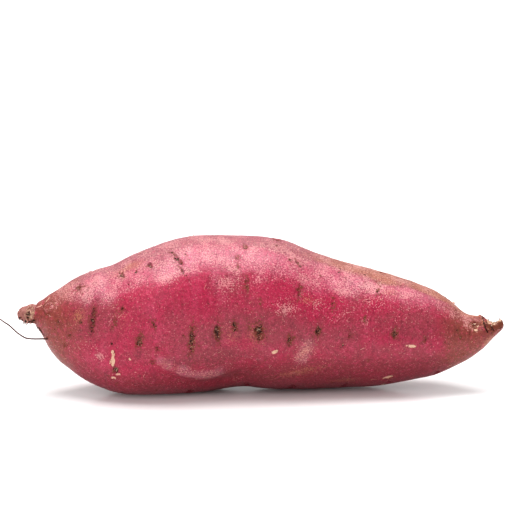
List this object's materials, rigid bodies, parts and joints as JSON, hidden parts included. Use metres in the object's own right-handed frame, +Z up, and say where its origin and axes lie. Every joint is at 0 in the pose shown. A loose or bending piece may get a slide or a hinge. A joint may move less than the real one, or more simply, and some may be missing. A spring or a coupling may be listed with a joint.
{
  "type": "sweet potato",
  "caption": "Whole raw sweet potato: a spindle-shaped root with a corky stem end, a torn root tip and scattered rootlet scars, lying on its side.",
  "frame": {"origin": "on the table, under the middle of the root's bounding box", "axes": "+X along the root towards the torn root tip, +Z up from the table, -Y the side with the large dark scars"},
  "size_m": [0.2002, 0.0678, 0.0648],
  "materials": {
    "skin": "thin crimson skin, semi-gloss, with brown corky ends and scars"
  },
  "bodies": {
    "root": {"sweet_potato": "skin"}
  },
  "joints": []
}
